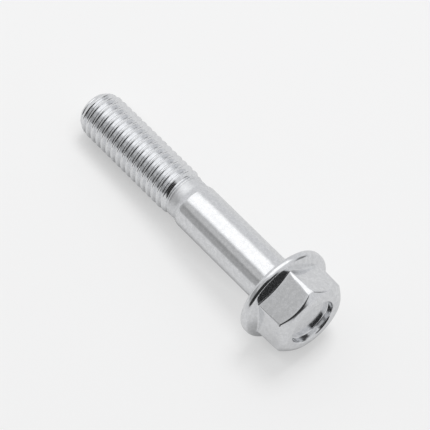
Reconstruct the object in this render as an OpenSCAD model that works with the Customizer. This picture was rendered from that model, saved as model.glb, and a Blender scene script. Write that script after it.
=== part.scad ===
// Hexagon flange bolt, cold headed in one piece, with a partly threaded stem.
// It stands on the flat end of its head: the ground is z = 0, the axis is on Z
// and the point of the thread is at the top.

/* [Stem] */
// Length from the underside of the flange to the point
under_head_l = 45; // [38:0.5:80]
// Diameter of the plain shank
shank_d = 7.8; // [7.4:0.05:8.4]
// Diameter over the crests of the thread
thread_d = 7.95; // [7.5:0.05:8.5]
// Pitch of the thread
thread_pitch = 1.25; // [0.75:0.05:1.75]
// Length of full thread, from the point down to the start of the run-out
thread_l = 21; // [10:0.5:24]
// Run-out of the thread, in turns
run_out_turns = 1.4; // [0.5:0.1:2]
// Diameter of the bare blank between the thread and the shank
neck_d = 7.2; // [6.8:0.05:7.35]
// Length of that bare neck
neck_l = 1.2; // [0.4:0.1:2]
// Length of the cone that widens from the neck to the shank
shoulder_l = 1.3; // [0.5:0.1:2.5]
// How far the rounded point narrows, in radius
point_drop = 1.15; // [0.4:0.05:1.6]
// Radius of the curve that rounds the point
point_round_r = 3.1; // [1.8:0.1:4]
// Radius of the fillet where the shank meets the flange
under_head_fillet = 0.4; // [0.1:0.05:1]

/* [Flange] */
// Diameter of the flange
flange_d = 16; // [15.2:0.1:20]
// Height of the flange's plain rim, from its underside
rim_h = 1.1; // [0.8:0.05:1.5]
// Radius of the rim's edge at the underside
rim_edge_r = 0.4; // [0.1:0.05:0.6]
// Radius that rolls the rim over onto the cone
rim_roll_r = 0.65; // [0.3:0.05:1]
// Slope of the cone between the rim and the hexagon, in degrees
cone_slope = 20; // [10:1:26]

/* [Hexagon] */
// Height of the head, from its end to the underside of the flange
head_h = 7.6; // [6.6:0.1:10]
// Width across the flats
hex_af = 11.9; // [9.9:0.1:12.3]
// How far the corners fall short of sharp next to the flange, in radius
corner_short_root = 0.03; // [0.01:0.01:0.1]
// How far the corners fall short of sharp at the chamfer, where the die was less full
corner_short_end = 0.2; // [0.1:0.01:0.5]
// How far inside the flats the flat end of the head begins
end_inset = 0.65; // [0.3:0.05:1]
// Slope of the chamfer, in degrees
chamfer_slope = 40; // [20:1:45]
// Radius of the edge between the chamfer and the end of the head
end_edge_r = 0.6; // [0.1:0.05:0.8]

/* [Dish] */
// Width of the land between the chamfer and the dish in the end of the head
land_w = 0.8; // [0.6:0.05:1.5]
// Depth of the dish
dish_depth = 0.9; // [0.5:0.05:1.5]
// Steepest slope of the dish's wall, in degrees
dish_wall_slope = 55; // [30:1:75]
// Radius of the dish's rolled edge
dish_edge_r = 0.5; // [0.1:0.05:0.6]
// Radius of the fillet round the dish's floor
dish_floor_r = 0.6; // [0.1:0.05:0.6]

/* [Hidden] */
$fn = 96;
arc_steps = 8;

shank_r = shank_d / 2;
thread_r = thread_d / 2;
neck_r = neck_d / 2;
flange_r = flange_d / 2;
hex_sharp_r = hex_af / 2 / cos(30);

// Heights up the stem
seat_z = head_h;
top_z = seat_z + under_head_l;
thread_start = top_z - thread_l;
neck_end = thread_start - run_out_turns * thread_pitch;
neck_start = neck_end - neck_l;
shank_end = neck_start - shoulder_l;

// The curve of the point runs into the crests without a corner
point_l = sqrt(pow(point_round_r, 2) - pow(point_round_r - point_drop, 2));
point_centre = [thread_r - point_round_r, top_z - point_l];
point_end_angle = asin(point_l / point_round_r);

// The rim's edge at the underside, its roll, and the cone down to the hexagon
rim_edge_centre = [flange_r - rim_edge_r, seat_z - rim_edge_r];
rim_roll_centre = [flange_r - rim_roll_r, seat_z - rim_h];
cone_start = rim_roll_centre + rim_roll_r * [sin(cone_slope), -cos(cone_slope)];
hex_root_z = cone_height(hex_sharp_r);

// The hexagon's chamfer and the rounded edge of the head's end
end_r = hex_af / 2 - end_inset;
corner_end_r = hex_sharp_r - corner_short_end;
corner_root_r = hex_sharp_r - corner_short_root;
chamfer_h = (corner_end_r - end_r) * tan(chamfer_slope);
end_edge_centre = [end_r - end_edge_r * tan(chamfer_slope / 2), end_edge_r];

// The dish's wall: a rolled edge, a straight slope and a floor fillet
dish_r = end_r - land_w;
wall_start_z = dish_edge_r * (1 - cos(dish_wall_slope));
wall_end_z = dish_depth - dish_floor_r * (1 - cos(dish_wall_slope));
wall_run = (wall_end_z - wall_start_z) / tan(dish_wall_slope);
dish_floor_edge = dish_r - (dish_edge_r + dish_floor_r) * sin(dish_wall_slope) - wall_run;

// Height of the flange's cone at radius r
function cone_height(r) = cone_start[1] - (cone_start[0] - r) * tan(cone_slope);

// Points along an arc from angle a to angle b, measured from the radial direction
function arc(centre, r, a, b) =
    [for (i = [0 : arc_steps]) centre + r * [cos(a + (b - a) * i / arc_steps),
                                             sin(a + (b - a) * i / arc_steps)]];

// Half section of the stem, from inside the flange to the point
function stem_outline() = concat(
    [[0, seat_z - rim_edge_r],
     [shank_r + under_head_fillet, seat_z - rim_edge_r]],
    arc([shank_r, seat_z] + under_head_fillet * [1, 1], under_head_fillet, 270, 180),
    [[shank_r, shank_end],
     [neck_r, neck_start],
     [neck_r, neck_end],
     [thread_r, thread_start]],
    arc(point_centre, point_round_r, 0, point_end_angle),
    [[0, top_z]]);

// Half section of the flange: cone, rolled rim and flat underside
function flange_outline() = concat(
    [[0, cone_height(end_r)],
     [end_r, cone_height(end_r)]],
    arc(rim_roll_centre, rim_roll_r, cone_slope - 90, 0),
    arc(rim_edge_centre, rim_edge_r, 0, 90),
    [[0, seat_z]]);

// Half section of the round blank that the hexagon is pressed from
function blank_outline() = concat(
    [[0, 0]],
    arc(end_edge_centre, end_edge_r, -90, chamfer_slope - 90),
    [[corner_end_r, chamfer_h],
     [corner_root_r, hex_root_z],
     [corner_root_r, seat_z - rim_h],
     [0, seat_z - rim_h]]);

// Half section of the dish, which opens downwards through the end of the head
function dish_outline() = concat(
    [[0, -dish_depth],
     [dish_r, -dish_depth]],
    arc([dish_r, dish_edge_r], dish_edge_r, -90, -90 - dish_wall_slope),
    arc([dish_floor_edge, dish_depth - dish_floor_r], dish_floor_r, 90 - dish_wall_slope, 90),
    [[0, dish_depth]]);

module turned(outline) {
    rotate_extrude() polygon(outline);
}

// Six flats pressed into the round blank, whose chamfer leaves an arc on each flat
module hexagon() {
    intersection() {
        turned(blank_outline());
        cylinder(r = hex_sharp_r, h = head_h, $fn = 6);
    }
}

module flange_bolt() {
    color("gainsboro")
        difference() {
            union() {
                turned(stem_outline());
                turned(flange_outline());
                hexagon();
            }
            turned(dish_outline());
        }
}

flange_bolt();
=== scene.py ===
# %% [markdown]
# A hexagon flange bolt in bright zinc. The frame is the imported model: the bolt's axis lies on Z,
# the flat end of the head is on z = 0 and the point of the thread is at the top.
# The photographed bolt lies on a pale table. Here the bolt keeps the frame's pose and the table
# and the camera are turned instead, which gives the same picture.

# %% Load the frame
import math
import bmesh
import bpy
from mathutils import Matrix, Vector


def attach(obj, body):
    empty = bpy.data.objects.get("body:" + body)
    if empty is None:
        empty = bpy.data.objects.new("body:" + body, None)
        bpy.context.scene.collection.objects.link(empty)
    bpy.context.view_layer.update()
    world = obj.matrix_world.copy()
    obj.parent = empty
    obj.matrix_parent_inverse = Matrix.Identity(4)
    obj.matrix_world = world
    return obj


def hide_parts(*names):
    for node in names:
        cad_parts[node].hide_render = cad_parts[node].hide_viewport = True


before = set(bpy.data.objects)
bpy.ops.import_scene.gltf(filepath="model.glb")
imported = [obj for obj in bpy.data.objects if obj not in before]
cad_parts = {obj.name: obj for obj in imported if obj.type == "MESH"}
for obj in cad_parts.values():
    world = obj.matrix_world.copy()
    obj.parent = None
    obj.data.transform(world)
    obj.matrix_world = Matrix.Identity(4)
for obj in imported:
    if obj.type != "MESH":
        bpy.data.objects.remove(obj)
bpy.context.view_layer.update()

MM = 0.001

# %% [markdown]
# The camera stands about 340 mm from the bolt, behind a long lens, so that the near end of the
# bolt is only a little larger than the far end. The picture is square. The camera's place was
# found from the outline of the flange, the hexagon and the two ends of the stem.

# %% Set up the camera
CAMERA_PLACE = Vector((280.273, -137.676, -127.735)) * MM
CAMERA_TURN = [math.radians(a) for a in (124.7845, 39.9366, 87.6448)]
LENS = 188.95
SENSOR = 36.0

scene = bpy.context.scene
camera_data = bpy.data.cameras.new("camera")
camera_data.lens = LENS
camera_data.sensor_width = SENSOR
camera = bpy.data.objects.new("camera", camera_data)
camera.location = CAMERA_PLACE
camera.rotation_euler = CAMERA_TURN
scene.collection.objects.link(camera)
scene.camera = camera
scene.view_settings.view_transform = "Standard"
print("camera field of view", round(math.degrees(camera_data.angle), 2))

# %% [markdown]
# The table touches the bolt in two places, at the edge of the flange's rim and at the rounded
# point, as it does under a bolt that lies down. Its upward direction is one vector in the
# frame. Everything in the studio is placed by a compass round that vector: front is the side of
# the camera, right is the right of the picture, and the height is in degrees over the table.

# %% Set up the studio's compass
HEAD_H = 7.6
SEAT_CENTRE = Vector((0, 0, HEAD_H)) * MM
TABLE_UP = Vector((0.98852, -0.11883, -0.09329)).normalized()
RIGHT = camera.rotation_euler.to_matrix() @ Vector((1, 0, 0))
FRONT = RIGHT.cross(TABLE_UP).normalized()


def studio_direction(bearing, height):
    """Unit vector at a bearing from front towards right, and a height over the table."""
    b = math.radians(bearing)
    h = math.radians(height)
    level = FRONT * math.cos(b) + RIGHT * math.sin(b)
    return level * math.cos(h) + TABLE_UP * math.sin(h)


print("front", [round(c, 3) for c in FRONT], "right", [round(c, 3) for c in RIGHT])

# %% [markdown]
# The head is pressed from a round blank, so it is built as a turned piece first: a ladder of
# points is spun once round the axis, and then each point is moved to the section of the head at
# its own angle. Spinning gives clean rings and columns, and the section can change from the round
# dish to the six flats and back to the round flange without a cut. All sizes are in millimetres
# and all angles in degrees until the piece is finished. These helpers draw the section.

# %% Draw arcs and lines in a section
def tan_d(angle):
    return math.tan(math.radians(angle))


def sin_d(angle):
    return math.sin(math.radians(angle))


def cos_d(angle):
    return math.cos(math.radians(angle))


def between(a, b, t):
    """The value at a share t of the way from a to b."""
    return a + (b - a) * t


def share(value, start, stop):
    """How far a value is on its way from start to stop, never below 0 or over 1."""
    return min(max((value - start) / (stop - start), 0), 1)


def ease(t):
    """A share that starts and ends gently."""
    return t * t * (3 - 2 * t)


def arc(centre, radii, start, stop, steps):
    """Points (radius, height) on part of an ellipse, between two angles."""
    angles = [between(start, stop, i / steps) for i in range(steps + 1)]
    return [(centre[0] + radii[0] * cos_d(a), centre[1] + radii[1] * sin_d(a)) for a in angles]


def round_arc(centre, radius, start, stop, steps):
    return arc(centre, (radius, radius), start, stop, steps)


def line(a, b, steps):
    """Points between a and b, without the two ends."""
    return [tuple(between(p, q, i / steps) for p, q in zip(a, b)) for i in range(1, steps)]


print("a straight line in 4 steps has", len(line((0, 0), (1, 0), 4)), "points inside it")

# %% [markdown]
# A headed flange is rarely even: the die closes a little more on one side, so the rim is thinner
# there and the cone behind it is steeper. The rim rolls over onto the cone along part of an
# ellipse. One cosine round the flange is enough for the rim, and one for the cone.

# %% Shape of the flange
FLANGE_R = 8.0
RIM_H = 0.98
RIM_UNEVEN = 0.27
THIN_SIDE = -26.4
RIM_ROLL = (0.38, 0.62)
CONE_SLOPE = 15.0
CONE_UNEVEN = 4.5


def rim_height(turn):
    """How far the rim goes up from the underside before it rolls over, at an angle."""
    return RIM_H - RIM_UNEVEN * cos_d(turn - THIN_SIDE)


def cone_slope(turn):
    """Slope of the cone between the rim and the hexagon, at an angle."""
    return CONE_SLOPE + CONE_UNEVEN * cos_d(turn - THIN_SIDE)


def roll_centre(turn):
    return FLANGE_R - RIM_ROLL[0], HEAD_H - rim_height(turn)


def roll_end(turn):
    """Angle in the ellipse of the roll where it meets the cone."""
    return math.degrees(math.atan(RIM_ROLL[1] / RIM_ROLL[0] / tan_d(cone_slope(turn))))


def cone_height(r, turn):
    """Height of the flange's cone at a radius and an angle."""
    centre = roll_centre(turn)
    start_r = centre[0] + RIM_ROLL[0] * cos_d(roll_end(turn))
    start_z = centre[1] - RIM_ROLL[1] * sin_d(roll_end(turn))
    return start_z + (r - start_r) * tan_d(cone_slope(turn))


for turn in (THIN_SIDE, THIN_SIDE + 90, THIN_SIDE + 180):
    print("at", turn, "rim", round(rim_height(turn), 2), "cone slope", round(cone_slope(turn), 1))

# %% [markdown]
# The die wasn't quite full at the corners, which is usual: each corner is cut off by a narrow
# band that widens towards the end of the head, on some corners more than on others. The band is
# part of a slim cone, so the hexagon's radius at any angle is the smaller of the flat's and the
# cone's. Corner 0 is on X, and the corners are numbered against the clock.

# %% Radius of the hexagon
FLAT_R = 5.95
CORNER_ROOT_R = 6.85
CORNER_END_R = (6.62, 6.73, 6.67, 6.67, 6.67, 6.73)
END_R = 5.3
CHAMFER_SLOPE = 38.0
SIDES = 6
SIDE = 360 // SIDES
MID_FLAT = SIDE / 2


def nearest_corner(turn):
    """(number of the nearest corner, degrees from it) at an angle."""
    k = round(turn / SIDE)
    return k % SIDES, abs(turn - SIDE * k)


def chamfer_top(corner):
    """Height at which a corner's band meets the chamfer."""
    return (CORNER_END_R[corner] - END_R) * tan_d(CHAMFER_SLOPE)


def root_height(corner):
    """Height at which a corner's band meets the flange's cone."""
    return cone_height(CORNER_ROOT_R, SIDE * corner)


def corner_radius(corner, z):
    """Radius of the band across a corner at a height."""
    up = share(z, chamfer_top(corner), root_height(corner))
    return between(CORNER_END_R[corner], CORNER_ROOT_R, up)


def hexagon_radius(turn, z):
    """Radius of the hexagon at an angle and a height."""
    corner, off = nearest_corner(turn)
    return min(FLAT_R / cos_d(MID_FLAT - off), corner_radius(corner, z))


def band_half_angle(corner, z):
    """Half the angle that a corner's band takes up at a height."""
    return MID_FLAT - math.degrees(math.acos(FLAT_R / corner_radius(corner, z)))


for corner in range(SIDES):
    print("corner", corner, "band", round(band_half_angle(corner, root_height(corner)), 2), "to",
          round(band_half_angle(corner, chamfer_top(corner)), 2), "degrees each side")

# %% [markdown]
# The section runs from the middle of the dish, round the head and the flange, and up the shank.
# It is put together from strips, and each strip is a function of the angle, also where it is the
# same all round. Every edge of a pressed part has a small radius. Those radii catch the thin
# bright and dark lines that make it look like metal, so each edge is an arc of several points.
# The dish is pressed in by a punch with steep sides. What it mirrors depends on the slope of its
# wall and on the two radii above and below the wall.

# %% Section of the dish
DISH_R = 4.28
DISH_DEPTH = 1.04
DISH_WALL_SLOPE = 78.0
DISH_EDGE_R = 0.28
DISH_FLOOR_R = 0.16


def dish_strip(turn):
    """The dish, from the middle of its floor to the end of the head."""
    edge = round_arc((DISH_R, DISH_EDGE_R), DISH_EDGE_R, -90 - DISH_WALL_SLOPE, -90, steps=8)
    floor_z = DISH_DEPTH - DISH_FLOOR_R
    wall_top = floor_z + DISH_FLOOR_R * cos_d(DISH_WALL_SLOPE)
    wall_run = (wall_top - edge[0][1]) / tan_d(DISH_WALL_SLOPE)
    floor_r = edge[0][0] - wall_run - DISH_FLOOR_R * sin_d(DISH_WALL_SLOPE)
    fillet = round_arc((floor_r, floor_z), DISH_FLOOR_R, 90, 90 - DISH_WALL_SLOPE, steps=7)
    middle = (0.0, DISH_DEPTH)
    floor = [middle] + line(middle, (floor_r, DISH_DEPTH), steps=6)
    return floor + fillet + line(fillet[-1], edge[0], steps=2) + edge


print("dish: floor radius", round(dish_strip(0)[6][0], 2), "and edge radius", DISH_R)

# %% [markdown]
# Round the dish lies the flat end of the head, and a wide soft edge leads from it to the chamfer.
# Where the chamfer meets a flat it leaves an arc, because the flat is nearer to the axis in its
# middle than at its corners. The small rounding there follows the hexagon's radius, so the arc
# comes by itself.

# %% Section of the end and the flats
END_EDGE_R = 1.6
FLAT_EDGE_R = 0.34
ROOT_FILLET_R = 0.25


def land_strip(turn):
    """The flat end of the head and the soft edge before the chamfer."""
    r = END_R - END_EDGE_R * tan_d(CHAMFER_SLOPE / 2)
    rounding = round_arc((r, END_EDGE_R), END_EDGE_R, -90, CHAMFER_SLOPE - 90, steps=8)
    return line((DISH_R, 0.0), rounding[0], steps=3) + rounding


def edge_strip(turn):
    """The small rounding between the chamfer and the flat or the band."""
    r = hexagon_radius(turn, 0) - FLAT_EDGE_R
    z = (r - END_R) * tan_d(CHAMFER_SLOPE) + FLAT_EDGE_R / cos_d(CHAMFER_SLOPE)
    return round_arc((r, z), FLAT_EDGE_R, CHAMFER_SLOPE - 90, 0, steps=4)


def chamfer_strip(turn):
    return line(land_strip(turn)[-1], edge_strip(turn)[0], steps=3)


def root_strip(turn):
    """The fillet between the flat or the band and the flange's cone."""
    slope = cone_slope(turn)
    corner = nearest_corner(turn)[0]
    r = hexagon_radius(turn, root_height(corner)) + ROOT_FILLET_R
    z = cone_height(r, turn) - ROOT_FILLET_R / cos_d(slope)
    return round_arc((r, z), ROOT_FILLET_R, 180, 90 + slope, steps=5)


def flat_strip(turn):
    heights = line(edge_strip(turn)[-1], root_strip(turn)[0], steps=9)
    return [(hexagon_radius(turn, z), z) for r, z in heights]


for turn in (0, MID_FLAT):
    flat = flat_strip(turn)
    print("at", turn, "degrees the side goes from height", round(flat[0][1], 2), "to", round(flat[-1][1], 2))

# %% [markdown]
# The flange closes with its cone, the roll of its rim and a second rounding at the underside. The
# underside is flat, a fillet leads to the shank, and the shank narrows softly to the bare neck,
# which is as thick as the wire was before the thread was rolled.

# %% Section of the flange and the shank
RIM_EDGE = (0.35, 0.6)
UNDER_HEAD_R = 0.4
SHANK_R = 3.9
SHANK_END = 27.35
NECK_R = 3.6
NECK_START = 28.65
NECK_TOP = 29.5
SHOULDER_STEPS = 12


def cone_strip(turn):
    return line(root_strip(turn)[-1], roll_strip(turn)[0], steps=4)


def roll_strip(turn):
    return arc(roll_centre(turn), RIM_ROLL, -roll_end(turn), 0, steps=12)


def shank_strip(turn):
    """The rim's lower edge, the underside, the shank and the neck."""
    rim = arc((FLANGE_R - RIM_EDGE[0], HEAD_H - RIM_EDGE[1]), RIM_EDGE, 0, 90, steps=7)
    fillet_centre = (SHANK_R + UNDER_HEAD_R, HEAD_H + UNDER_HEAD_R)
    fillet = round_arc(fillet_centre, UNDER_HEAD_R, 270, 180, steps=6)
    ways = [i / SHOULDER_STEPS for i in range(SHOULDER_STEPS + 1)]
    shoulder = [(between(SHANK_R, NECK_R, ease(t)), between(SHANK_END, NECK_START, t)) for t in ways]
    underside = line(rim[-1], fillet[0], steps=4)
    shank = line(fillet[-1], shoulder[0], steps=7)
    return rim + underside + fillet + shank + shoulder + [(NECK_R, NECK_TOP)]


STRIPS = {"dish": dish_strip, "land": land_strip, "chamfer": chamfer_strip, "edge": edge_strip,
          "flat": flat_strip, "root": root_strip, "cone": cone_strip, "roll": roll_strip,
          "shank": shank_strip}
rows = []
for name, strip in STRIPS.items():
    count = len(strip(MID_FLAT))
    rows += [(name, i, count) for i in range(count)]
print("section of", len(rows), "points in", len(STRIPS), "strips")

# %% [markdown]
# The columns crowd round each corner, where the band and its two small roundings need them, and
# spread out evenly on the round parts. How far they crowd changes from row to row, so the edges
# of the band run along columns all the way down the flat. On the flats the column on each edge is
# pulled in by a hair, which rounds the edge.

# %% Spread the columns
COLUMNS = 204
PER_SIDE = COLUMNS // SIDES
EVEN = SIDE / PER_SIDE
NEAR_COLUMNS = 3
EDGE_COLUMN = 2
WIDEST_SOFT = 0.7
SOFT_SHARE = 0.4
EDGE_PULL = 0.9986


def crowding(name, i, count, corner):
    """(how even the columns are, height that sets the band) for one row of the section."""
    t = (i + 0.5) / count
    low = chamfer_top(corner)
    high = root_height(corner)
    if name == "land":
        return 1 - t, low
    if name in ("chamfer", "edge"):
        return 0.0, low
    if name == "flat":
        return 0.0, between(low, high, t)
    if name == "root":
        return 0.0, high
    if name == "cone":
        return t, high
    return 1.0, high


def near_columns(row, corner):
    """Angles from a corner of the columns next to it, in a row: before, on and behind the edge."""
    even, z = crowding(*row, corner)
    half = band_half_angle(corner, z)
    soft = min(WIDEST_SOFT, SOFT_SHARE * half)
    crowded = (half - soft, half, half + soft)
    return [between(c, EVEN * (k + 1), even) for k, c in enumerate(crowded)]


def column_turn(side, j, row):
    """Angle of column j of a side, in a row."""
    start = SIDE * side
    if j == 0:
        return start
    first = near_columns(row, side)
    last = near_columns(row, (side + 1) % SIDES)
    if j <= NEAR_COLUMNS:
        return start + first[j - 1]
    if j >= PER_SIDE - NEAR_COLUMNS:
        return start + SIDE - last[PER_SIDE - j - 1]
    span = SIDE - first[-1] - last[-1]
    return start + first[-1] + span * (j - NEAR_COLUMNS) / (PER_SIDE - 2 * NEAR_COLUMNS)


def head_point(column, row):
    """Place of one point of the head and shank."""
    side, j = divmod(column, PER_SIDE)
    turn = column_turn(side, j, row)
    name, i, count = row
    r, z = STRIPS[name](turn)[i]
    if name == "flat" and j in (EDGE_COLUMN, PER_SIDE - EDGE_COLUMN):
        r *= EDGE_PULL
    return Vector((r * cos_d(turn), r * sin_d(turn), z))


print("columns", COLUMNS, "and rows", len(rows))

# %% [markdown]
# The ladder is spun into a plain tube, whose rings and columns say where each point belongs. The
# first row of the section lies on the axis, so its points fall together and are merged.

# %% Spin the head and the shank
LADDER_R = 10.0
RUNG = 0.1
TOUCHING = 0.0001


def spin_ladder(rungs, columns):
    """A tube of rings and columns, spun from a straight ladder of points."""
    bm = bmesh.new()
    ladder = [bm.verts.new((LADDER_R, 0, RUNG * i)) for i in range(rungs)]
    for a, b in zip(ladder, ladder[1:]):
        bm.edges.new((a, b))
    bmesh.ops.spin(bm, geom=bm.verts[:] + bm.edges[:], cent=(0, 0, 0), axis=(0, 0, 1), dvec=(0, 0, 0),
                   angle=math.tau, steps=columns, use_merge=True)
    return bm


head = spin_ladder(len(rows), COLUMNS)
for v in head.verts:
    column = round(math.atan2(v.co.y, v.co.x) / math.tau * COLUMNS) % COLUMNS
    v.co = head_point(column, rows[round(v.co.z / RUNG)])
bmesh.ops.remove_doubles(head, verts=head.verts[:], dist=TOUCHING)
print("head and shank:", len(head.verts), "points,", len(head.faces), "faces")

# %% [markdown]
# The thread is rolled: ridged dies press a groove into the bare neck and the metal they push
# aside rises as the crests. One pitch has the standard form, 60 degrees between its flanks, with
# a rounded root and a crest that isn't quite sharp. The line of teeth is spun one turn while it
# climbs one pitch, so its end meets its start and the ridge goes on as one right-hand screw. The
# phase turns the screw round the axis.

# %% Spin the thread
PITCH = 1.25
THREAD_R = 3.975
THREAD_STEPS = 120
THREAD_PHASE = 0.625
TURNS_BELOW = 2.2
TURNS_ABOVE = 0.6
NECK_END = 29.85
POINT_TOP = 52.6
SEAM = 0.001
HALF_TOOTH = [(0.0, 0.0), (0.05, 0.006), (0.1, 0.048), (0.22, 0.246), (0.35, 0.468), (0.47, 0.672),
              (0.545, 0.748), (0.625, 0.767)]


def tooth_line(first, last):
    """Points (radius, height) of a line of teeth. A half tooth lists (way up, depth) from a crest."""
    points = []
    z = first
    while z < last:
        falling = [(THREAD_R - depth, z + way) for way, depth in HALF_TOOTH]
        rising = [(THREAD_R - depth, z + PITCH - way) for way, depth in reversed(HALF_TOOTH[:-1])]
        points += falling + rising[:-1]
        z += PITCH
    return points


teeth = tooth_line(NECK_END - TURNS_BELOW * PITCH + THREAD_PHASE, POINT_TOP + TURNS_ABOVE * PITCH)
thread = bmesh.new()
tooth_points = [thread.verts.new((r, 0, z)) for r, z in teeth]
for a, b in zip(tooth_points, tooth_points[1:]):
    thread.edges.new((a, b))
bmesh.ops.spin(thread, geom=thread.verts[:] + thread.edges[:], cent=(0, 0, 0), axis=(0, 0, 1),
               dvec=(0, 0, PITCH / THREAD_STEPS), angle=math.tau, steps=THREAD_STEPS)
bmesh.ops.remove_doubles(thread, verts=thread.verts[:], dist=SEAM)
print("thread:", len(thread.verts), "points,", len(thread.faces), "faces")

# %% [markdown]
# The screw is cut off square at the neck and just under the point. Towards the neck the groove
# runs out, because the dies were ground away there. Over the point, the crests follow the rounded
# end of the wire, and the groove fades where that is narrower than its root.

# %% Trim the thread and shape its two ends
THREAD_START = 31.6
POINT_R = 3.1
POINT_START = 50.19
TRIM_TOP = 52.45
BLEND = 0.04


def shape_end(r, z):
    """Radius of a point of the thread after its ends are shaped."""
    r = between(NECK_R, r, share(z, NECK_END, THREAD_START))
    if z <= POINT_START:
        return r
    limit = THREAD_R - POINT_R + math.sqrt(POINT_R ** 2 - (z - POINT_START) ** 2)
    return -BLEND * math.log(math.exp(-r / BLEND) + math.exp(-limit / BLEND))


for plane_z, side in ((NECK_END, -1), (TRIM_TOP, 1)):
    whole = thread.verts[:] + thread.edges[:] + thread.faces[:]
    bmesh.ops.bisect_plane(thread, geom=whole, dist=TOUCHING, plane_co=(0, 0, plane_z),
                           plane_no=(0, 0, side), clear_outer=True)
for v in thread.verts:
    r = math.hypot(v.co.x, v.co.y)
    scale = shape_end(r, v.co.z) / r
    v.co.x *= scale
    v.co.y *= scale
print("trimmed thread:", len(thread.verts), "points")

# %% [markdown]
# The point is closed by pulling the last ring in over a small radius and filling the flat end,
# which is the sheared end of the wire.

# %% Close the point
POINT_RINGS = ((2.93, 52.53), (2.83, 52.585), (2.7, 52.6), (2.45, 52.6))
SAME_HEIGHT = 0.02


def open_edges(bm, z):
    """Open edges of the mesh near a height."""
    return [e for e in bm.edges if e.is_boundary and all(abs(v.co.z - z) < SAME_HEIGHT for v in e.verts)]


rim_edges = open_edges(thread, TRIM_TOP)
for ring_r, ring_z in POINT_RINGS:
    made = bmesh.ops.extrude_edge_only(thread, edges=rim_edges)["geom"]
    rim_edges = [e for e in made if isinstance(e, bmesh.types.BMEdge) and e.is_boundary]
    for v in {v for e in rim_edges for v in e.verts}:
        scale = ring_r / math.hypot(v.co.x, v.co.y)
        v.co = Vector((v.co.x * scale, v.co.y * scale, ring_z))
bmesh.ops.contextual_create(thread, geom=rim_edges)
print("open edges left at the point:", len(open_edges(thread, POINT_TOP)))

# %% [markdown]
# The two halves are joined over the last bit of the bare neck, and the finished mesh goes from
# millimetres to metres. A Weighted Normal modifier lets the large faces lead the shading, so the
# flats stay flat beside their small roundings.

# %% Join the stem to the head
SHADING_WEIGHT = 50
bolt_mesh = bpy.data.meshes.new("bolt_with_thread")
thread.to_mesh(bolt_mesh)
thread.free()
head.from_mesh(bolt_mesh)
neck_edges = open_edges(head, NECK_TOP) + open_edges(head, NECK_END)
bmesh.ops.bridge_loops(head, edges=neck_edges)
bmesh.ops.recalc_face_normals(head, faces=head.faces[:])
bmesh.ops.scale(head, vec=(MM, MM, MM), verts=head.verts[:])
print("open edges:", sum(e.is_boundary for e in head.edges))
print("volume in mm3:", round(head.calc_volume() / MM ** 3, 1))
head.to_mesh(bolt_mesh)
head.free()
bolt_mesh.shade_smooth()
bolt = bpy.data.objects.new("bolt_with_thread", bolt_mesh)
scene.collection.objects.link(bolt)
shading = bolt.modifiers.new("even shading", "WEIGHTED_NORMAL")
shading.weight = SHADING_WEIGHT
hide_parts("flange_bolt")
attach(bolt, "root")
print("triangles:", sum(len(p.vertices) - 2 for p in bolt_mesh.polygons))

# %% [markdown]
# Bright zinc is a thin, slightly blue-grey metal layer over the steel. It could be one plain
# metal, but then the bolt would look like chrome. Three things tell zinc from chrome: the layer
# is a little cloudy, it isn't quite level, and it is duller where no die has smoothed the steel
# below it. Each of the three is a pattern on Object coordinates, which are in metres here. These
# helpers place the nodes.

# %% Start the zinc
def feed(tree, socket, value):
    """Links an output to a socket, or writes a plain value on it."""
    if isinstance(value, bpy.types.NodeSocket):
        tree.links.new(value, socket)
    else:
        socket.default_value = value


def combine(tree, operation, *values):
    """A Math node on plain values or outputs."""
    node = tree.nodes.new("ShaderNodeMath")
    node.operation = operation
    for socket, value in zip(node.inputs, values):
        feed(tree, socket, value)
    return node.outputs[0]


zinc = bpy.data.materials.new("bright_zinc")
zinc.use_nodes = True
zinc_tree = zinc.node_tree
zinc_surface = zinc_tree.nodes["Principled BSDF"]
zinc_surface.inputs["Metallic"].default_value = 1.0
place = zinc_tree.nodes.new("ShaderNodeTexCoord").outputs["Object"]
along = zinc_tree.nodes.new("ShaderNodeSeparateXYZ")
feed(zinc_tree, along.inputs[0], place)
height = along.outputs["Z"]


def zinc_noise(scale, detail):
    """A noise of so many grains per metre."""
    node = zinc_tree.nodes.new("ShaderNodeTexNoise")
    node.inputs["Scale"].default_value = scale
    node.inputs["Detail"].default_value = detail
    feed(zinc_tree, node.inputs["Vector"], place)
    return node.outputs["Fac"]


def zinc_ramp(value, start, stop, low, high):
    """Low up to start, high from stop, and a gentle change between them."""
    node = zinc_tree.nodes.new("ShaderNodeMapRange")
    node.interpolation_type = "SMOOTHSTEP"
    node.inputs["From Min"].default_value = start
    node.inputs["From Max"].default_value = stop
    node.inputs["To Min"].default_value = low
    node.inputs["To Max"].default_value = high
    feed(zinc_tree, node.inputs["Value"], value)
    return node.outputs["Result"]


print("zinc has", len(zinc_tree.nodes), "nodes so far")

# %% [markdown]
# The neck is drawn wire that neither the heading die nor the thread dies have touched. Its grain
# shows through the layer and makes it rougher than the rest. Two ramps along the axis, one up and
# one down, multiply to a mask that is 1 on the neck.

# %% Dull the neck
ROUGH_PRESSED = 0.15
ROUGH_NECK = 0.42
DULL_FROM = (27.3 * MM, 28.2 * MM)
DULL_TO = (29.6 * MM, 30.8 * MM)

neck = combine(zinc_tree, "MULTIPLY", zinc_ramp(height, *DULL_FROM, 0, 1), zinc_ramp(height, *DULL_TO, 1, 0))
feed(zinc_tree, zinc_surface.inputs["Roughness"], zinc_ramp(neck, 0, 1, ROUGH_PRESSED, ROUGH_NECK))
print("roughness", ROUGH_PRESSED, "and on the neck", ROUGH_NECK)
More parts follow.
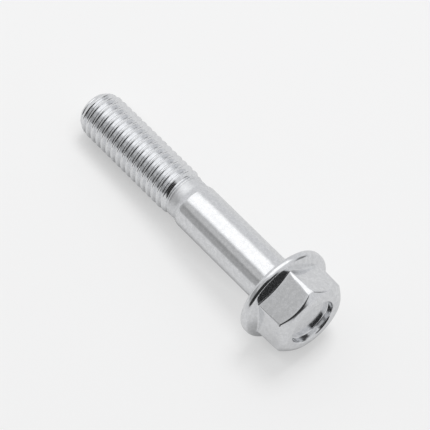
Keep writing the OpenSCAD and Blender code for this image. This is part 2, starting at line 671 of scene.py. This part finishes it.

# %% [markdown]
# The clouds are two noises, one with grains of about half a millimetre and one three times as
# fine, multiplied so that the dull spots of both show. They mix a duller and a clearer zinc. A
# ramp along the axis moves the mix on the thread towards the clear one. This is partly the flanks
# burnished by the dies and partly painted sheen: the clearer colour brightens the thread's bright
# band, which the double reflection in the grooves dims.

# %% Cloud the layer and brighten the thread with burnishing and painted sheen
CLOUD_SCALE = 1600
CLOUD_DETAIL = 3.0
CLOUD_RANGE = (0.35, 0.65)
CLOUD_DARK = 0.5
SPECK_SCALE = 5200
SPECK_DETAIL = 2.0
SPECK_RANGE = (0.3, 0.7)
SPECK_DARK = 0.4
# Share of clearer zinc on the thread: burnished flanks, and partly painted sheen that brightens the thread's
# bright band.
BURNISH_AND_SHEEN = 0.32
BURNISH_AND_SHEEN_FROM = (30 * MM, 32 * MM)
DULL_ZINC = (0.68, 0.688, 0.702, 1)
CLEAR_ZINC = (0.87, 0.878, 0.892, 1)

clouds = zinc_ramp(zinc_noise(CLOUD_SCALE, CLOUD_DETAIL), *CLOUD_RANGE, CLOUD_DARK, 1)
specks = zinc_ramp(zinc_noise(SPECK_SCALE, SPECK_DETAIL), *SPECK_RANGE, SPECK_DARK, 1)
# Painted sheen in part: the thread's colour is made clearer so that its bright band shows brighter.
burnish_and_sheen = zinc_ramp(height, *BURNISH_AND_SHEEN_FROM, 0, BURNISH_AND_SHEEN)
clearness = combine(zinc_tree, "ADD", combine(zinc_tree, "MULTIPLY", clouds, specks), burnish_and_sheen)
tint = zinc_tree.nodes.new("ShaderNodeMix")
tint.data_type = "RGBA"
tint.inputs["A"].default_value = DULL_ZINC
tint.inputs["B"].default_value = CLEAR_ZINC
feed(zinc_tree, tint.inputs["Factor"], clearness)
feed(zinc_tree, zinc_surface.inputs["Base Color"], tint.outputs["Result"])
print("zinc from", DULL_ZINC[:3], "to", CLEAR_ZINC[:3])

# %% [markdown]
# The ripple is only a few thousandths of a millimetre high. It is far too fine to model, so a
# Bump node bends the normals, which breaks up the edges of what the metal mirrors.

# %% Ripple the layer
RIPPLE_SCALE = 2600
RIPPLE_DETAIL = 2.0
RIPPLE_STRENGTH = 0.5
RIPPLE_HEIGHT = 0.004 * MM

ripple = zinc_tree.nodes.new("ShaderNodeBump")
ripple.inputs["Strength"].default_value = RIPPLE_STRENGTH
ripple.inputs["Distance"].default_value = RIPPLE_HEIGHT
feed(zinc_tree, ripple.inputs["Height"], zinc_noise(RIPPLE_SCALE, RIPPLE_DETAIL))
feed(zinc_tree, zinc_surface.inputs["Normal"], ripple.outputs["Normal"])
bolt_mesh.materials.append(zinc)
print("zinc has", len(zinc_tree.nodes), "nodes")

# %% [markdown]
# The table is a wide pale sheet of paper, placed just under the rim and the point of the bolt.
# It belongs to the studio and not to the bolt.

# %% Cut the table's sheet
TABLE_SIZE = 1.6
TABLE_DROP = 7.943 * MM
TABLE_SHADE = 0.3


def stage_piece(name, mesh_maker, material):
    """A piece of the studio, made with bmesh and kept out of the bolt's own model."""
    mesh = bpy.data.meshes.new(name)
    bm = bmesh.new()
    mesh_maker(bm)
    bm.to_mesh(mesh)
    bm.free()
    mesh.materials.append(material)
    piece = bpy.data.objects.new(name, mesh)
    scene.collection.objects.link(piece)
    return piece


def table_sheet(bm):
    bmesh.ops.create_grid(bm, x_segments=1, y_segments=1, size=TABLE_SIZE / 2)
    turn = TABLE_UP.to_track_quat("Z", "Y").to_matrix()
    bmesh.ops.rotate(bm, cent=(0, 0, 0), matrix=turn, verts=bm.verts[:])
    bmesh.ops.translate(bm, vec=SEAT_CENTRE - TABLE_UP * TABLE_DROP, verts=bm.verts[:])


paper = bpy.data.materials.new("pale_paper")
paper.use_nodes = True
paper_tree = paper.node_tree
paper_surface = paper_tree.nodes["Principled BSDF"]
paper_surface.inputs["Base Color"].default_value = (TABLE_SHADE, TABLE_SHADE, TABLE_SHADE, 1)
paper_surface.inputs["Roughness"].default_value = 1.0
paper_surface.inputs["Specular IOR Level"].default_value = 0.0
table = stage_piece("table", table_sheet, paper)
print("table size", TABLE_SIZE, "m")

# %% [markdown]
# A pale table could be had with more lamps, but they would burn out the bolt. Part of the paper's
# brightness is a glow instead, which only the camera and what mirrors the table can see. The
# Light Path node tells those rays from the rest. The glow sinks where something stands close, as
# the Ambient Occlusion node finds it: a little in the corner between bolt and table, and much
# more in what the bolt mirrors, since the paper beneath it is in its shade.

# %% Make the paper glow
TABLE_GLOW = 0.585
CORNER_SHADE = 0.42
CORNER_REACH = 4 * MM
TABLE_MIRRORED = 0.73
MIRROR_SHADE = 0.8
MIRROR_REACH = 9 * MM


def shaded_glow(level, shade, reach):
    """A level that loses the share shade where the paper is covered within reach."""
    cover = paper_tree.nodes.new("ShaderNodeAmbientOcclusion")
    cover.inputs["Distance"].default_value = reach
    return combine(paper_tree, "MULTIPLY_ADD", cover.outputs["AO"], level * shade, level * (1 - shade))


ray = paper_tree.nodes.new("ShaderNodeLightPath").outputs
beneath = shaded_glow(TABLE_MIRRORED, MIRROR_SHADE, MIRROR_REACH)
mirrored = combine(paper_tree, "MULTIPLY", ray["Is Glossy Ray"], beneath)
looked_at = combine(paper_tree, "MAXIMUM", ray["Is Camera Ray"], ray["Is Transmission Ray"])
seen = combine(paper_tree, "MAXIMUM", looked_at, mirrored)
corners = shaded_glow(TABLE_GLOW, CORNER_SHADE, CORNER_REACH)
feed(paper_tree, paper_surface.inputs["Emission Color"], combine(paper_tree, "MULTIPLY", seen, corners))
paper_surface.inputs["Emission Strength"].default_value = 1.0
print("glow of the table", TABLE_GLOW, "and mirrored", round(TABLE_GLOW * TABLE_MIRRORED, 3))

# %% [markdown]
# The sheet shows its front only. From behind it lets the view through, so that the bolt can be
# looked at from every side.

# %% Open the back of the paper
facing = paper_tree.nodes.new("ShaderNodeNewGeometry")
clear = paper_tree.nodes.new("ShaderNodeBsdfTransparent")
side_switch = paper_tree.nodes.new("ShaderNodeMixShader")
feed(paper_tree, side_switch.inputs["Fac"], facing.outputs["Backfacing"])
feed(paper_tree, side_switch.inputs[1], paper_surface.outputs["BSDF"])
feed(paper_tree, side_switch.inputs[2], clear.outputs["BSDF"])
feed(paper_tree, paper_tree.nodes["Material Output"].inputs["Surface"], side_switch.outputs["Shader"])
print("paper has", len(paper_tree.nodes), "nodes")

# %% [markdown]
# The room is a pale tent, a little cool. What a bolt this bright looks like is mostly what it
# mirrors, so cards stand in the tent, and they draw the darkest and the brightest shapes on it.

# %% Light the tent
ROOM = 0.72
ROOM_COLOUR = (ROOM, ROOM * 1.005, ROOM * 1.02, 1)

world = bpy.data.worlds.new("tent")
world.use_nodes = True
background = world.node_tree.nodes["Background"]
background.inputs["Color"].default_value = ROOM_COLOUR
background.inputs["Strength"].default_value = 1.0
scene.world = world
print("tent", [round(c, 3) for c in ROOM_COLOUR[:3]])

# %% [markdown]
# A card fades to clear at its edges, as the edge of a real one would out of focus. So one
# paint serves all of them: it reads how solid the card is and how bright it glows from two
# attributes of the card's own mesh.

# %% Mix the cards' paint
card_paint = bpy.data.materials.new("card_glow")
card_paint.use_nodes = True
card_tree = card_paint.node_tree
card_tree.nodes.remove(card_tree.nodes["Principled BSDF"])


def card_attribute(name):
    node = card_tree.nodes.new("ShaderNodeAttribute")
    node.attribute_name = name
    return node.outputs["Fac"]


light = card_tree.nodes.new("ShaderNodeEmission")
see_through = card_tree.nodes.new("ShaderNodeBsdfTransparent")
blend = card_tree.nodes.new("ShaderNodeMixShader")
feed(card_tree, light.inputs["Strength"], card_attribute("level"))
feed(card_tree, blend.inputs["Fac"], card_attribute("solid"))
feed(card_tree, blend.inputs[1], see_through.outputs["BSDF"])
feed(card_tree, blend.inputs[2], light.outputs["Emission"])
feed(card_tree, card_tree.nodes["Material Output"].inputs["Surface"], blend.outputs["Shader"])
print("card paint has", len(card_tree.nodes), "nodes")

# %% [markdown]
# Each card is a patch of a ball round the bolt, between two bearings and two heights, because a
# curved card keeps its distance and so its sharpness in what the metal mirrors. It starts as a
# flat grid, whose x goes to the bearing and whose y to the height.

# %% Bend a card round the bolt
CARD_STEPS = 40


def fade(value, low, high, soft_low, soft_high):
    """1 between low and high, falling gently to 0 over the soft width inside each end."""
    rise = share(value, low, low + soft_low)
    drop = share(value, high, high - soft_high)
    return ease(min(rise, drop))


def level_at(levels, height):
    """Level of a card at a height, from pairs of (height, level)."""
    for (h0, l0), (h1, l1) in zip(levels, levels[1:]):
        if height <= h1:
            return between(l0, l1, share(height, h0, h1))
    return levels[-1][1]


def add_card(name, distance, bearings, lows, high, soft, levels):
    """A card on a ball round the bolt. Its lower edge runs between two heights, lows, and soft
    gives the widths in degrees of its four faded edges: left, right, lower and upper."""
    def patch(bm):
        bmesh.ops.create_grid(bm, x_segments=CARD_STEPS, y_segments=CARD_STEPS, size=0.5)
        solid = bm.verts.layers.float.new("solid")
        level = bm.verts.layers.float.new("level")
        for v in bm.verts:
            across = v.co.x + 0.5
            up = v.co.y + 0.5
            bearing = between(*bearings, across)
            low = between(*lows, across)
            height = between(low, high, up)
            v[solid] = fade(bearing, *bearings, *soft[:2]) * fade(height, low, high, *soft[2:])
            v[level] = level_at(levels, height)
            v.co = SEAT_CENTRE + studio_direction(bearing, height) * distance
    card = stage_piece(name, patch, card_paint)
    card.visible_camera = False
    card.visible_shadow = False
    print(name, "from", bearings[0], "to", bearings[1], "degrees and up to", high)
    return card


# %% [markdown]
# The tent is open at the front, where the camera stands in the dark. A grey screen on the left
# has a darker strip a little below its middle, a darker screen stands on the right, and one big
# soft lamp hangs over the back. The cards glow by themselves and cast no shadow.

# %% Set up the cards
DARK = ((0, 0.03), (90, 0.03))
GREY = ((0, 0.406), (19, 0.406), (21, 0.347), (29.5, 0.347), (31.5, 0.575), (44, 0.592),
        (46, 0.516), (90, 0.516))
DIM = ((0, 0.22), (90, 0.22))
BRIGHT = ((0, 1.27), (90, 1.27))

add_card("dark front", distance=0.5, bearings=(-66, 56), lows=(-9, 4), high=74,
         soft=(10, 12, 8, 10), levels=DARK)
add_card("grey screen", distance=0.56, bearings=(-108, -56), lows=(-2, -2), high=60,
         soft=(8, 12, 6, 8), levels=GREY)
add_card("right screen", distance=0.56, bearings=(86, 136), lows=(5, 5), high=38,
         soft=(10, 12, 7, 10), levels=DIM)
add_card("soft lamp", distance=0.6, bearings=(-223, -101), lows=(30, 40), high=84,
         soft=(25, 18, 12, 12), levels=BRIGHT)

# %% [markdown]
# A round lamp hangs high over the back of the table. It lights the paper and gives the small
# shadow in front of the bolt, and it is so wide that the shadow has no hard edge. It doesn't show
# in the metal, because the soft lamp's card is what the metal mirrors there.

# %% Hang the top lamp
TOP_LAMP_SIZE = 1.2
TOP_LAMP_POWER = 43
TOP_LAMP_BEARING = 150
TOP_LAMP_HEIGHT = 70
TOP_LAMP_DISTANCE = 3.0

lamp_data = bpy.data.lights.new("top_lamp", "AREA")
lamp_data.shape = "DISK"
lamp_data.size = TOP_LAMP_SIZE
lamp_data.energy = TOP_LAMP_POWER
lamp = bpy.data.objects.new("top_lamp", lamp_data)
lamp.visible_camera = False
lamp.visible_glossy = False
way = studio_direction(TOP_LAMP_BEARING, TOP_LAMP_HEIGHT)
lamp.location = SEAT_CENTRE + way * TOP_LAMP_DISTANCE
lamp.rotation_euler = way.to_track_quat("Z", "Y").to_euler()
scene.collection.objects.link(lamp)
print("top lamp", [round(c, 3) for c in lamp.location])
